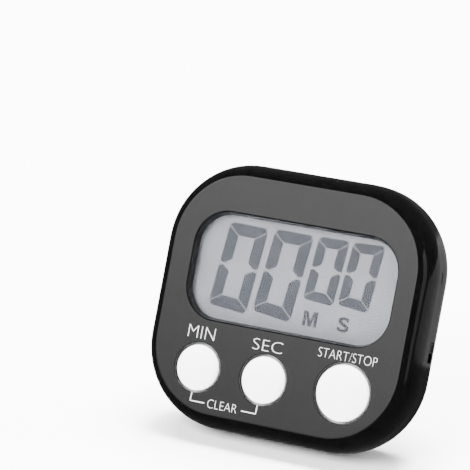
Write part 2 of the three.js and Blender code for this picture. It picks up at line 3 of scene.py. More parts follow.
import bpy
from mathutils import Matrix, Vector


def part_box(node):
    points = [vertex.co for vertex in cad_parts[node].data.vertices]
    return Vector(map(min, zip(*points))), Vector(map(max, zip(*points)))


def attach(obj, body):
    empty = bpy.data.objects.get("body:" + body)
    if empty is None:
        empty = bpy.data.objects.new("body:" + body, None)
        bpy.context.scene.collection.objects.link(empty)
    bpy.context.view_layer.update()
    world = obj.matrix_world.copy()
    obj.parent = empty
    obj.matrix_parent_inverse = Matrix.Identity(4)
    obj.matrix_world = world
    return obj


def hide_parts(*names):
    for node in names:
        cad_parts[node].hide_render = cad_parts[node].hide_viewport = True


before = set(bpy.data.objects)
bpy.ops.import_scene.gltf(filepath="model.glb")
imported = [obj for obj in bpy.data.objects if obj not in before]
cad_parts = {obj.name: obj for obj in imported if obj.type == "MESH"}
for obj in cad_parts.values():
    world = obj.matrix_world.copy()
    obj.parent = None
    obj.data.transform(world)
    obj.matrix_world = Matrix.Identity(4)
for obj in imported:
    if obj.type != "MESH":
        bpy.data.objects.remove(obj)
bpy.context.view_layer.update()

MM = 0.001
LEAN = math.radians(24)  # how far the case leans back on its stand
GAP = 0.2  # between pieces that fit together
RUN_GAP = 0.3  # between pieces that move past each other

# ------------------------------------------------------------------ sizes, from the CAD part
CASE_WIDTH, CASE_HEIGHT, CASE_DEPTH = 80, 73.4, 20
CASE_CORNER_R = 23.3
WALL, FACE_WALL = 2, 2.3
EDGE_OUT, EDGE_DEPTH = 4, 7.2
REAR_EDGE_R = 9
SEAM_DEPTH = 15
LIP_DEPTH, LIP_WALL = 2, 1
EASE = 0.0065  # share by which curves are drawn in, to stay inside the CAD part's facets

WINDOW = dict(x=0.3, z=7.5, width=60.7, height=29.9, r=9.56)
WINDOW_DRAFT = 0.6  # how far the window's walls close in towards the lens
WINDOW_LIP = 0.45  # radius of the window's front edge
LENS_MARGIN, LENS_FRONT, LENS_BACK = 1.5, 2.5, 3.5
GLASS_MARGIN, GLASS_FRONT, GLASS_BACK = 0.7, 3.7, 5.9
LEDGE = 2.4  # the front glass reaches this far below the rear one
LENS_EDGE, GLASS_EDGE = 0.15, 0.08

BUTTONS = {
    "button_min": dict(x=-22.3, z=-20.9, hole_r=6.8),
    "button_sec": dict(x=-2.3, z=-20.8, hole_r=6.95),
    "button_start_stop": dict(x=21.2, z=-20.1, hole_r=8.2),
}
BUTTON_GAP, BUTTON_DOME, BUTTON_EDGE = 0.5, 1.1, 0.6
DOME_FLAT, DOME_TURN, DOME_STEPS = 0.6, 0.4, 28
FLANGE_FRONT, FLANGE_BACK, FLANGE_OUT = 2.5, 3.5, 1.1
STEM_R, STEM_TIP = 2, 4.9
HOLE_LIP = 0.35
HOLE_REACH = 6  # how deep the window and button cutters go

SCREW_X, SCREW_UPPER_Z, SCREW_LOWER_Z = 34.6, 17.0, -15.5
SCREW_PLACES = {
    "case_screw_top_left": (-SCREW_X, SCREW_UPPER_Z),
    "case_screw_top_right": (SCREW_X, SCREW_UPPER_Z),
    "case_screw_bottom_left": (-SCREW_X, SCREW_LOWER_Z),
    "case_screw_bottom_right": (SCREW_X, SCREW_LOWER_Z),
}
SCREW_HEAD_R, SCREW_HEAD_H, SCREW_SHANK_R, SCREW_LENGTH = 1.9, 1.4, 1.0, 8
BOSS_R, PILLAR_R, HEAD_SEAT = 2.4, 3.2, 16.0
BOARD_POSTS = [(-12.5, -10.85), (11.5, -10.85), (9.5, -31.3)]
BOARD_POST_R, BOARD_FRONT = 1.7, 8.4
PILOT_R, PILOT_FRONT = 0.9, 4
POST_ROOT = 0.5  # how far posts and bosses run into the face wall

CELL_Y, CELL_Z, TUB_R, TUB_WALL, TUB_LENGTH = 12.05, 25.8, 5.45, 0.85, 50
DOOR_HALF, DOOR_RAIL, DOOR_RAIL_T, DOOR_INNER, DOOR_BOTTOM = 25.4, 1, 1.1, 17.5, 19.3
GRIP_R, GRIP_PROUD, GRIP_HALF, GRIP_FIRST, GRIP_PITCH, GRIPS = 0.5, 0.25, 6, 3, 1.6, 3

MAGNET_R, MAGNET_Z, MAGNET_FLOOR, MAGNET_BACK, MAGNET_EDGE = 10, -11, 17.1, 20.3, 0.35
HINGE_Y, HINGE_Z = 18.7, 10
STAND_HALF, STAND_LENGTH, STAND_LEG, STAND_BAR, STAND_T = 18.5, 42, 5, 6, 2.2
STAND_CORNER_R, STAND_EDGE_R, PIN_R, PIN_LENGTH = 4, 0.5, 1.2, 1.5
STAND_SMALL_R = 0.6
STAND_OPEN = math.radians(40.55)
RECESS_HALF, RECESS_FLOOR, PAD_HALF, PAD_FRONT, PAD_OVER = 18.8, 17.3, 21.5, 15.9, 3.5

SLOT = dict(z=-5.2, length=5.6, width=2.6, depth=10.5, inner=36)
SLIT = dict(z=15, length=3.4, width=0.5, depth=9, inner=CASE_WIDTH / 2 - 0.6)
# The knob's left end is 1.51 further in than the CAD's (36.31), so it cuts into the switch body.
KNOB = dict(length=2.8, width=1.8, left=34.8, right=39.85, edge=0.12)
GROOVE_R, GROOVE_PROUD, GROOVE_SHARES = 0.28, 0.1, (0.25, 0.5, 0.75)
SWITCH_LEFT, SWITCH_LOW, SWITCH_HIGH = 31.7, -9.4, -1.0

SOUNDER_X, SOUNDER_Z, SOUNDER_R, SOUNDER_FRONT = -28.35, 2, 6.65, 16.8
SOUND_HOLE_R, SOUND_HOLE_FRONT, SOUND_RING_R, SOUND_HOLES = 0.7, 17, 2.7, 6
SEAT_WALL = 1

CORNER_STEPS = 16  # facets of a quarter turn on an outline
EDGE_STEPS = 14  # layers of a quarter turn on the case's edges
SOFT_STEPS, LIP_STEPS = 5, 8
ROUND, ROUND_COARSE, ROUND_SCREW, ROUND_BORE, ROUND_BUTTON = 72, 24, 40, 32, 96
BIG = 120  # past everything
THREAD_TIP = 1  # length of a screw's tapered tip, and room past it


def case_frame():
    """Case millimetres to row metres, from where the display lens is."""
    low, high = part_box("display_lens")
    turn = Matrix.Rotation(-LEAN, 4, "X") @ Matrix.Scale(MM, 4)
    middle = Vector((WINDOW["x"], (LENS_FRONT + LENS_BACK) / 2, WINDOW["z"]))
    return Matrix.Translation((low + high) / 2 - turn @ middle) @ turn


CASE = case_frame()
STAND_FRAME = (
    CASE @ Matrix.Translation((0, HINGE_Y, HINGE_Z)) @ Matrix.Rotation(STAND_OPEN, 4, "X")
)


# ------------------------------------------------------------------ solids
def solid(name, points, faces, place=CASE):
    """A mesh from points and faces; place carries the points into the row frame."""
    mesh = bpy.data.meshes.new(name)
    mesh.from_pydata([place @ Vector(p) for p in points], [], faces)
    made = bpy.data.objects.new(name, mesh)
    bpy.context.scene.collection.objects.link(made)
    return made


def round_rect(x, z, width, height, r, r_top=None, steps=CORNER_STEPS):
    """Outline on x and z, anticlockwise seen from the front."""
    upper = r if r_top is None else r_top
    points = []
    for sx, sz, start in ((1, 1, 0), (-1, 1, 90), (-1, -1, 180), (1, -1, 270)):
        corner = max(upper if sz > 0 else r, 0.02)
        cx = x + sx * (width / 2 - corner)
        cz = z + sz * (height / 2 - corner)
        for i in range(steps + 1):
            a = math.radians(start + 90 * i / steps)
            points.append((cx + corner * math.cos(a), cz + corner * math.sin(a)))
    return points


def circle(x, z, r, sides=ROUND):
    turns = [2 * math.pi * i / sides for i in range(sides)]
    return [(x + r * math.cos(a), z + r * math.sin(a)) for a in turns]


def loft(name, layers, place=CASE):
    """A closed solid through outlines of equal length, each (outline, depth), front to back."""
    count = len(layers[0][0])
    points = [(x, y, z) for outline, y in layers for x, z in outline]
    faces = [list(range(count)), list(range(len(points) - 1, len(points) - count - 1, -1))]
    for k in range(len(layers) - 1):
        a, b = k * count, (k + 1) * count
        for i in range(count):
            j = (i + 1) % count
            faces.append((a + i, b + i, b + j, a + j))
    return solid(name, points, faces, place)


def plate(name, outline, y0, y1, place=CASE):
    """An outline carried straight from depth y0 to y1."""
    return loft(name, [(outline, y0), (outline, y1)], place)


def block(name, x0, x1, y0, y1, z0, z1, place=CASE):
    return plate(name, [(x0, z0), (x1, z0), (x1, z1), (x0, z1)], y0, y1, place)


def post(name, x, z, r, y0, y1, sides=ROUND):
    return plate(name, circle(x, z, r, sides), y0, y1)


def rod(name, y, z, r, x0, x1, place=CASE):
    """A round bar across the case."""
    ring = circle(y, z, r)
    points = [(x, py, pz) for x in (x0, x1) for py, pz in ring]
    faces = [list(range(ROUND - 1, -1, -1)), list(range(ROUND, 2 * ROUND))]
    for i in range(ROUND):
        j = (i + 1) % ROUND
        faces.append((i, j, ROUND + j, ROUND + i))
    return solid(name, points, faces, place)


def lathe(name, x, z, profile, sides=ROUND):
    """Profile of (radius, depth), front to back, turned about an axis along the depth."""
    return loft(name, [(circle(x, z, max(r, 0.01), sides), y) for r, y in profile])


def remove(obj):
    mesh = obj.data
    bpy.data.objects.remove(obj)
    bpy.data.meshes.remove(mesh)


def bake(obj):
    """The object's modifiers become its mesh."""
    graph = bpy.context.evaluated_depsgraph_get()
    baked = bpy.data.meshes.new_from_object(obj.evaluated_get(graph))
    old = obj.data
    obj.modifiers.clear()
    obj.data = baked
    bpy.data.meshes.remove(old)
    return obj


def combine(target, operation, tools):
    """A boolean of the target with each tool; the tools are used up."""
    for tool in tools:
        step = target.modifiers.new("combine", "BOOLEAN")
        step.operation = operation
        step.solver = "MANIFOLD"
        step.object = tool
    bake(target)
    for tool in tools:
        remove(tool)
    return target


def join(target, *tools):
    return combine(target, "UNION", tools)


def cut(target, *tools):
    return combine(target, "DIFFERENCE", tools)


def within(target, tool):
    return combine(target, "INTERSECT", (tool,))


def thicken(obj, thick, offset=-1):
    """Turns flat faces into a sheet that is thick millimetres through."""
    body = obj.modifiers.new("thickness", "SOLIDIFY")
    body.thickness = thick * MM
    body.offset = offset
    return bake(obj)


def chamfer(obj, width):
    edge = obj.modifiers.new("edge", "BEVEL")
    edge.width = width * MM
    edge.segments = 2
    edge.limit_method = "ANGLE"
    return bake(obj)


def finish_piece(obj, body, look, replaces=(), sharp=34):
    """Smooth shading with true edges, a material, and the CAD body it moves with."""
    for face in obj.data.polygons:
        face.use_smooth = True
    obj.data.set_sharp_from_angle(angle=math.radians(sharp))
    even = obj.modifiers.new("even_normals", "WEIGHTED_NORMAL")
    even.keep_sharp = True
    obj.data.materials.clear()
    obj.data.materials.append(look)
    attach(obj, body)
    if replaces:
        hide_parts(*replaces)
    return obj


# ------------------------------------------------------------------ case forms
def quarter(steps=EDGE_STEPS):
    """Angles of a quarter turn."""
    return [math.pi / 2 * i / steps for i in range(steps + 1)]


def case_layers(inset, front_inset):
    """The case's outer form moved in on all sides, as outlines from front to back."""
    out = max(EDGE_OUT - inset / 2, 1)
    over = EDGE_DEPTH - front_inset / 2
    rear = REAR_EDGE_R - inset
    front_edge, rear_edge = [], []
    for a in quarter():
        ease = 1 - EASE * math.sin(2 * a) ** 2
        d, y = out * (1 - math.sin(a) * ease), over * (1 - math.cos(a) * ease)
        front_edge.append((inset + d, front_inset + y))
        depth = CASE_DEPTH - inset - rear + rear * math.sin(a) * ease
        rear_edge.append((inset + rear * (1 - math.cos(a) * ease), depth))
    layers = []
    for d, y in front_edge + rear_edge:
        width, height = CASE_WIDTH - 2 * d, CASE_HEIGHT - 2 * d
        layers.append((round_rect(0, 0, width, height, CASE_CORNER_R - d), y))
    return layers


def case_form(name, inset, front_inset=None):
    """The case's outer form as a solid, moved in on all sides."""
    return loft(name, case_layers(inset, inset if front_inset is None else front_inset))


def slab(y0, y1):
    """Everything between two depths."""
    return block("slab", -BIG, BIG, y0, y1, -BIG, BIG)


def lipped_cutter(name, outline_at, lip, depths):
    """A cutter that rounds the edge of the hole it makes. outline_at gives an outline grown by
    a margin, and depths are (margin, depth) pairs behind the rounded edge."""
    layers = [(outline_at(lip), -5)]
    for a in quarter(LIP_STEPS):
        layers.append((outline_at(lip * (1 - math.sin(a))), lip * (1 - math.cos(a))))
    layers += [(outline_at(margin), y) for margin, y in depths]
    return loft(name, layers)


def window_outline(margin):
    return round_rect(
        WINDOW["x"],
        WINDOW["z"],
        WINDOW["width"] + 2 * margin,
        WINDOW["height"] + 2 * margin,
        WINDOW["r"] + margin,
    )


def window_cutter():
    depths = [(-WINDOW_DRAFT, FACE_WALL + 0.05), (-WINDOW_DRAFT, HOLE_REACH)]
    return lipped_cutter("window_cutter", window_outline, WINDOW_LIP, depths)


def button_cutter(x, z, hole_r):
    def outline(margin):
        return circle(x, z, hole_r + margin)

    return lipped_cutter("button_cutter", outline, HOLE_LIP, [(0, HOLE_REACH)])


def side_cutter(name, z, length, width, depth, inner):
    """A straight-sided cutter for the right-hand side wall."""
    y0, y1 = depth - width / 2, depth + width / 2
    return block(name, inner, CASE_WIDTH, y0, y1, z - length / 2, z + length / 2)


def screw_posts(name, r, y0, y1, sides=ROUND):
    """A round post at each case screw."""
    return [post(name, x, z, r, y0, y1, sides) for x, z in SCREW_PLACES.values()]


def board_posts(name, r, y0, y1):
    """A round post at each board screw."""
    return [post(name, x, z, r, y0, y1) for x, z in BOARD_POSTS]


# ------------------------------------------------------------------ shells
def front_housing(look):
    shell = cut(case_form("front_housing_v", 0), case_form("room", WALL, FACE_WALL))
    within(shell, slab(-1, SEAM_DEPTH))
    bosses = screw_posts("boss", BOSS_R, FACE_WALL - POST_ROOT, SEAM_DEPTH - GAP)
    posts = board_posts("post", BOARD_POST_R, FACE_WALL - POST_ROOT, BOARD_FRONT - GAP)
    join(shell, *bosses, *posts)
    bore_front = SEAM_DEPTH - SCREW_LENGTH - THREAD_TIP
    bores = screw_posts("bore", SCREW_SHANK_R + GAP, bore_front, CASE_DEPTH)
    pilots = board_posts("pilot", PILOT_R, PILOT_FRONT, CASE_DEPTH)
    holes = [button_cutter(**b) for b in BUTTONS.values()]
    slot, slit = side_cutter("switch_slot", **SLOT), side_cutter("catch_slit", **SLIT)
    cut(shell, window_cutter(), slot, slit, *holes, *bores, *pilots)
    return finish_piece(shell, "case", look, ["front_housing"])


def cell_trough(margin, half):
    """The room for the cell, grown by a margin: a half-round tub, open to the back."""
    r = TUB_R + margin
    return [
        rod("trough", CELL_Y, CELL_Z, r, -half, half),
        block("trough", -half, half, CELL_Y, DOOR_INNER + margin, CELL_Z - r, CELL_Z + r),
    ]


def door_room(margin):
    """What the battery door fills, grown by a margin: the plate, its rails and its wrapped end."""
    half = DOOR_HALF + margin
    inner, low = DOOR_INNER - margin, DOOR_BOTTOM - margin
    rail_half, rail_back = half + DOOR_RAIL, DOOR_INNER + DOOR_RAIL_T + margin
    over_tub = CELL_Z + TUB_R + TUB_WALL + GAP
    wrap_front = SEAM_DEPTH + 2 * GAP - margin
    return [
        block("room", -half, half, inner, BIG, low, BIG),
        block("room", -rail_half, rail_half, inner, rail_back, low, BIG),
        block("room", -half, half, wrap_front, BIG, over_tub, BIG),
    ]


def stand_recess():
    """The hollow that the folded stand lies in, round the island that holds the magnet."""
    top = HINGE_Z + STAND_T / 2 + RUN_GAP
    island = STAND_HALF - STAND_LEG - RUN_GAP
    island_low = HINGE_Z - STAND_LENGTH + STAND_BAR + RUN_GAP
    height, middle = BIG - island_low, (BIG + island_low) / 2
    hollow = block("recess", -RECESS_HALF, RECESS_HALF, RECESS_FLOOR, BIG, -BIG, top)
    outline = round_rect(0, middle, 2 * island, height, STAND_CORNER_R / 2, 0)
    cut(hollow, plate("island", outline, 0, 2 * BIG))
    half = RECESS_HALF + PIN_LENGTH
    return join(hollow, rod("pin_room", HINGE_Y, HINGE_Z, PIN_R + GAP, -half, half))


def sound_holes():
    places = [(SOUNDER_X, SOUNDER_Z)] + circle(SOUNDER_X, SOUNDER_Z, SOUND_RING_R, SOUND_HOLES)
    reach = (SOUND_HOLE_R, SOUND_HOLE_FRONT, BIG, ROUND_COARSE)
    return [post("hole", x, z, *reach) for x, z in places]


def cover_lip():
    """The cover's thin lip, which goes into the front housing."""
    back = SEAM_DEPTH + 2 * GAP
    lip = within(case_form("lip", WALL + GAP), slab(SEAM_DEPTH - LIP_DEPTH, back))
    clear = screw_posts("clear", BOSS_R + GAP, 0, SEAM_DEPTH)
    low, high = SWITCH_LOW - GAP, SWITCH_HIGH + GAP
    notch = block("notch", SWITCH_LEFT - GAP, BIG, 0, SEAM_DEPTH, low, high)
    return cut(lip, case_form("room", WALL + GAP + LIP_WALL), notch, *clear)


def cover_additions():
    """What the cover's shell carries inside: the stand's pad, the door's ledge, the screw
    pillars and the battery tub."""
    back = CASE_DEPTH - WALL + 1
    pad = block("pad", -PAD_HALF, PAD_HALF, PAD_FRONT, back, -BIG / 2, HINGE_Z + PAD_OVER)
    half, front = DOOR_HALF + 2 * DOOR_RAIL + GAP, DOOR_INNER - TUB_WALL - GAP
    low = DOOR_BOTTOM - 2 * GAP - TUB_WALL
    ledge = block("ledge", -half, half, front, back, low, CELL_Z + TUB_R)
    pillars = screw_posts("pillar", PILLAR_R, SEAM_DEPTH + GAP, CASE_DEPTH)
    grown = join(pad, ledge, *pillars)
    within(grown, case_form("bound", 0))
    tub = cell_trough(TUB_WALL, TUB_LENGTH / 2 + TUB_WALL)
    bound = case_form("bound", WALL + GAP)
    return [grown, within(join(*tub), bound)]


def sounder_seat():
    wall_front = CASE_DEPTH - WALL
    ring = post("seat", SOUNDER_X, SOUNDER_Z, SOUNDER_R, SOUNDER_FRONT, wall_front + POST_ROOT)
    cut(ring, post("seat", SOUNDER_X, SOUNDER_Z, SOUNDER_R - SEAT_WALL, 0, wall_front))
    return within(ring, case_form("bound", 0))


def rear_cover(look):
    cover = cut(case_form("rear_cover_v", 0), case_form("room", WALL, FACE_WALL))
    within(cover, slab(SEAM_DEPTH + GAP, BIG))
    join(cover, cover_lip(), *cover_additions(), sounder_seat())
    magnet = post("pocket", 0, MAGNET_Z, MAGNET_R + GAP, MAGNET_FLOOR, BIG)
    bores = screw_posts("bore", SCREW_SHANK_R + GAP, 0, BIG, ROUND_BORE)
    seats = screw_posts("seat", SCREW_HEAD_R + GAP, HEAD_SEAT, BIG)
    rooms = [*cell_trough(0, TUB_LENGTH / 2), *door_room(GAP), stand_recess()]
    cut(cover, *rooms, magnet, *bores, *seats, *sound_holes())
    return finish_piece(cover, "case", look, ["rear_cover"])


def battery_door(look):
    bound = join(*door_room(0))
    door = cut(case_form("battery_door_v", 0), case_form("room", WALL, FACE_WALL))
    join(door, within(case_form("deep", 0), slab(DOOR_INNER, BIG)))
    over_tub = CELL_Z + TUB_R + TUB_WALL + 2 * GAP
    cut(door, block("behind", -BIG, BIG, -1, DOOR_INNER, -BIG, over_tub))
    within(door, bound)
    heights = [DOOR_BOTTOM + GRIP_FIRST + GRIP_PITCH * i for i in range(GRIPS)]
    depth = CASE_DEPTH + GRIP_PROUD
    cut(door, *[rod("grip", depth, z, GRIP_R, -GRIP_HALF, GRIP_HALF) for z in heights])
    return finish_piece(door, "battery_door", look, ["battery_door"])


# ------------------------------------------------------------------ stand, magnet and screws
def soft_layers(outline_at, y0, y1, edge):
    """Layers from y0 to y1 with rounded edges. outline_at gives an outline by margin."""
    front, back = [], []
    for a in quarter(SOFT_STEPS):
        early, late = edge * (1 - math.sin(a)), edge * (1 - math.cos(a))
        front.append((outline_at(-early), y0 + late))
        back.append((outline_at(-late), y1 - early))
    return front + back


def stand(look):
    half, low = STAND_HALF, -STAND_LENGTH - STAND_T / 2
    inner_half, inner_low = half - STAND_LEG, STAND_BAR - STAND_LENGTH
    thick, past = STAND_T / 2, 2 * STAND_T

    def outside(margin):
        width, height = 2 * (half + margin), -low + 2 * margin
        r, r_top = STAND_CORNER_R + margin, STAND_SMALL_R + margin
        return round_rect(0, low / 2, width, height, r, r_top)

    def inside(margin):
        width, height = 2 * (inner_half - margin), past - inner_low - 2 * margin
        middle = (inner_low + past) / 2
        return round_rect(0, middle, width, height, STAND_CORNER_R / 2, STAND_SMALL_R)

    loop = loft("stand_v", soft_layers(outside, -thick, thick, STAND_EDGE_R), STAND_FRAME)
    wide = inside(-STAND_EDGE_R)
    rounded = soft_layers(inside, -thick, thick, STAND_EDGE_R)
    cut(loop, loft("opening", [(wide, -past), *rounded, (wide, past)], STAND_FRAME))
    bars = []
    for side in (-1, 1):
        a, b = sorted((side * half, side * inner_half))
        bars.append(rod("knuckle", 0, 0, thick, a, b, STAND_FRAME))
        a, b = sorted((side * (half - 1), side * (half + PIN_LENGTH)))
        bars.append(rod("pin", 0, 0, PIN_R, a, b, STAND_FRAME))
    join(loop, *bars)
    ground = Matrix.Scale(MM, 4)
    cut(loop, block("ground", -BIG, BIG, -BIG, BIG, -BIG, 0, ground))
    return finish_piece(loop, "stand", look, ["stand"])


def magnet(look):
    front, back, narrow = MAGNET_FLOOR + GAP, MAGNET_BACK, MAGNET_R - MAGNET_EDGE
    profile = [(narrow, front), (MAGNET_R, front + MAGNET_EDGE)]
    profile += [(MAGNET_R, back - MAGNET_EDGE), (narrow, back)]
    disc = lathe("magnet_v", 0, MAGNET_Z, profile)
    return finish_piece(disc, "case", look, ["magnet"], sharp=50)


def case_screw(name, x, z, look):
    """A screw with a low domed head and a cross drive."""
    seat = HEAD_SEAT + GAP
    top = seat + SCREW_HEAD_H
    profile = [
        (SCREW_SHANK_R * 0.4, seat - SCREW_LENGTH),
        (SCREW_SHANK_R, seat - SCREW_LENGTH + THREAD_TIP),
        (SCREW_SHANK_R, seat),
        (SCREW_HEAD_R, seat),
        (SCREW_HEAD_R, top - 0.5),
        (SCREW_HEAD_R * 0.86, top - 0.15),
        (SCREW_HEAD_R * 0.6, top),
    ]
    screw = lathe(name + "_v", x, z, profile, ROUND_SCREW)
    arm, thin, deep = SCREW_HEAD_R * 0.6, SCREW_HEAD_R * 0.14, top - 0.8
    cut(
        screw,
        block("drive", x - arm, x + arm, deep, BIG, z - thin, z + thin),
        block("drive", x - thin, x + thin, deep, BIG, z - arm, z + arm),
    )
    return finish_piece(screw, "case", look, [name])


# ------------------------------------------------------------------ buttons and switch
def button(name, x, z, hole_r, look):
    """A domed cap, whose section is one smooth curve, on a flange and a stem."""
    r = hole_r - BUTTON_GAP
    p0, p1 = Vector((0, -BUTTON_DOME)), Vector((DOME_FLAT * r, -BUTTON_DOME))
    p2, p3 = Vector((r, -DOME_TURN * BUTTON_DOME)), Vector((r, BUTTON_EDGE))
    profile = []
    for i in range(DOME_STEPS + 1):
        t = i / DOME_STEPS
        u = 1 - t
        profile.append(tuple(u**3 * p0 + 3 * u * u * t * p1 + 3 * u * t * t * p2 + t**3 * p3))
    profile += [(r, FLANGE_FRONT), (r + FLANGE_OUT, FLANGE_FRONT), (r + FLANGE_OUT, FLANGE_BACK)]
    profile += [(STEM_R, FLANGE_BACK), (STEM_R, STEM_TIP)]
    cap = lathe(name + "_v", x, z, profile, ROUND_BUTTON)
    return finish_piece(cap, name, look, [name])


def switch_knob(look):
    half = KNOB["width"] / 2
    top = SLOT["z"] + SLOT["length"] / 2 - GAP
    low = top - KNOB["length"]
    y0, y1 = SLOT["depth"] - half, SLOT["depth"] + half
    knob = block("switch_knob_v", KNOB["left"], KNOB["right"], y0, y1, low, top)
    x, heights = KNOB["right"] + GROOVE_PROUD, [low + KNOB["length"] * s for s in GROOVE_SHARES]
    cut(knob, *[post("groove", x, z, GROOVE_R, y0 - 1, y1 + 1, ROUND_COARSE) for z in heights])
    chamfer(knob, KNOB["edge"])
    return finish_piece(knob, "switch_knob", look, ["switch_knob"])


# ------------------------------------------------------------------ display
def display_lens(look):
    def outline(margin):
        return window_outline(LENS_MARGIN + margin)

    lens = loft("display_lens_v", soft_layers(outline, LENS_FRONT, LENS_BACK, LENS_EDGE))
    return finish_piece(lens, "case", look, ["display_lens"])


def lcd_glass(look):
    """Two bonded sheets; the front one reaches lower, where the connector touches it."""
    half_w, half_h = WINDOW["width"] / 2, WINDOW["height"] / 2
    left = WINDOW["x"] - half_w - GLASS_MARGIN
    right = WINDOW["x"] + half_w + GLASS_MARGIN
    low = WINDOW["z"] - half_h - GLASS_MARGIN
    high = WINDOW["z"] + half_h + GLASS_MARGIN
    middle = (GLASS_FRONT + GLASS_BACK) / 2
    glass = block("lcd_glass_v", left, right, GLASS_FRONT, middle, low, high)
    rear = block("rear_glass", left, right, middle - 0.01, GLASS_BACK, low + LEDGE, high)
    join(glass, rear)
    chamfer(glass, GLASS_EDGE)
    return finish_piece(glass, "case", look, ["lcd_glass"])


# A digit's corners on the face: top left, top right, bottom left, bottom right.
DIGITS = [
    dict(tl=(-21.3, 19.4), tr=(-10.6, 19.1), bl=(-23.5, -3.0), br=(-12.8, -3.9), stroke=3.3),
    dict(tl=(-7.6, 19.5), tr=(3.0, 19.4), bl=(-10.0, -2.6), br=(0.6, -3.9), stroke=3.3),
    dict(tl=(5.6, 19.5), tr=(13.7, 19.6), bl=(4.1, 3.1), br=(12.2, 2.5), stroke=2.7),
    dict(tl=(15.8, 19.6), tr=(24.2, 19.9), bl=(14.4, 3.2), br=(22.6, 2.4), stroke=2.7),
]
SEGMENT_GAP = 0.252
SEGMENT_NIP = 0.3  # share of a stroke that is cut off the outer corners
SEGMENT_WAIST = (0.45, 0.35, 0.15)  # how a side segment narrows to its point, in strokes
DISPLAY_SHIFT = Vector((-0.35, 0.2))
DIGIT_GROW = 0.45
SEGMENT_FRONT, INK_THICK = 3.62, 0.05


def segment_outlines(width, height, stroke):
    """The six lit segments of a nought, on a box of that size with its corner at the origin."""
    g, s = SEGMENT_GAP, stroke
    nip, waist = SEGMENT_NIP * s, height / 2 + g
    inner, point, outer = (share * s for share in SEGMENT_WAIST)
    top = [(nip, height), (width - nip, height), (width - g / 2, height - nip + g / 2)]
    top += [(width - s - g / 2, height - s), (s + g / 2, height - s), (g / 2, height - nip + g / 2)]
    upper_left = [(0, height - nip - g), (s, height - s - g), (s, waist + inner)]
    upper_left += [(point, waist), (0, waist + outer)]
    upper_right = [(width - x, y) for x, y in reversed(upper_left)]
    lower_left = [(x, height - y) for x, y in reversed(upper_left)]
    lower_right = [(width - x, height - y) for x, y in upper_left]
    bottom = [(x, height - y) for x, y in reversed(top)]
    return [top, upper_left, upper_right, lower_left, lower_right, bottom]


def lcd_segments(look):
    """All segments as one piece; each digit is a box leaned and sized by its four corners."""
    points, faces = [], []
    for d in DIGITS:
        tl, tr, bl, br = (Vector(d[k]) for k in ("tl", "tr", "bl", "br"))
        width = ((tr - tl).length + (br - bl).length) / 2
        height = ((tl - bl).length + (tr - br).length) / 2
        grown = 2 * DIGIT_GROW
        for outline in segment_outlines(width + grown, height + grown, d["stroke"]):
            start = len(points)
            for x, y in outline:
                u, v = (x - DIGIT_GROW) / width, (y - DIGIT_GROW) / height
                at = (bl * (1 - u) + br * u) * (1 - v) + (tl * (1 - u) + tr * u) * v + DISPLAY_SHIFT
                points.append((at.x, SEGMENT_FRONT, at.y))
            faces.append(list(range(start, len(points))))
    ink = thicken(solid("lcd_segments", points, faces), INK_THICK)
    return finish_piece(ink, "case", look)


# ------------------------------------------------------------------ letters
PRINT_DEPTH, PRINT_THICK = -0.005, 0.03
PRINT_WEIGHT, LCD_WEIGHT = -0.024, 0.03  # how far a letter's outline grows, in font units
LETTER_STEPS, LETTER_WELD = 6, 0.002
# A box on the face for each word: left, right, low, high.
FACE_LABELS = [
    ("label_min", "MIN", (-26.95, -18.85, -13.0, -9.65)),
    ("label_sec", "SEC", (-7.2, 1.75, -13.05, -10.0)),
    ("label_start_stop", "START/STOP", (12.25, 29.6, -11.6, -9.1)),
    ("label_clear", "CLEAR", (-17.3, -8.35, -31.15, -28.8)),
]
LETTER_M_BOX = (4.4, 8.6, -4.3, -0.2)
LETTER_S_BOX = (14.7, 18.1, -4.2, -0.1)
# Half of a bold M on a unit box, from its left foot up and round to the foot's inner side.
HALF_M = [(0.21, 0), (0, 0), (0, 1), (0.3, 1), (0.5, 0.4), (0.5, 0), (0.4, 0), (0.21, 0.62)]
BRACKETS = {
    "bracket_left": [(-22.5, -28.0), (-22.65, -30.1), (-18.4, -30.1)],
    "bracket_right": [(-6.8, -30.2), (-2.6, -30.2), (-2.55, -27.85)],
}
BRACKET_LINE = 0.3


def lettering(name, text, box, depth, thick, weight):
    """A generic function word in the built-in font, stretched to a box on the face."""
    left, right, low, high = box
    curve = bpy.data.curves.new(name, "FONT")
    curve.body = text
    curve.offset = weight
    curve.resolution_u = LETTER_STEPS
    typed = bpy.data.objects.new(name + "_typed", curve)
    bpy.context.scene.collection.objects.link(typed)
    graph = bpy.context.evaluated_depsgraph_get()
    mesh = bpy.data.meshes.new_from_object(typed.evaluated_get(graph))
    bpy.data.objects.remove(typed)
    bpy.data.curves.remove(curve)
    xs = [v.co.x for v in mesh.vertices]
    ys = [v.co.y for v in mesh.vertices]
    wide, tall = max(xs) - min(xs), max(ys) - min(ys)
    for v in mesh.vertices:
        x = left + (v.co.x - min(xs)) / wide * (right - left)
        z = low + (v.co.y - min(ys)) / tall * (high - low)
        v.co = CASE @ Vector((x, depth, z))
    made = bpy.data.objects.new(name, mesh)
    bpy.context.scene.collection.objects.link(made)
    weld = made.modifiers.new("weld", "WELD")
    weld.merge_threshold = LETTER_WELD * MM
    return thicken(made, thick, 1)


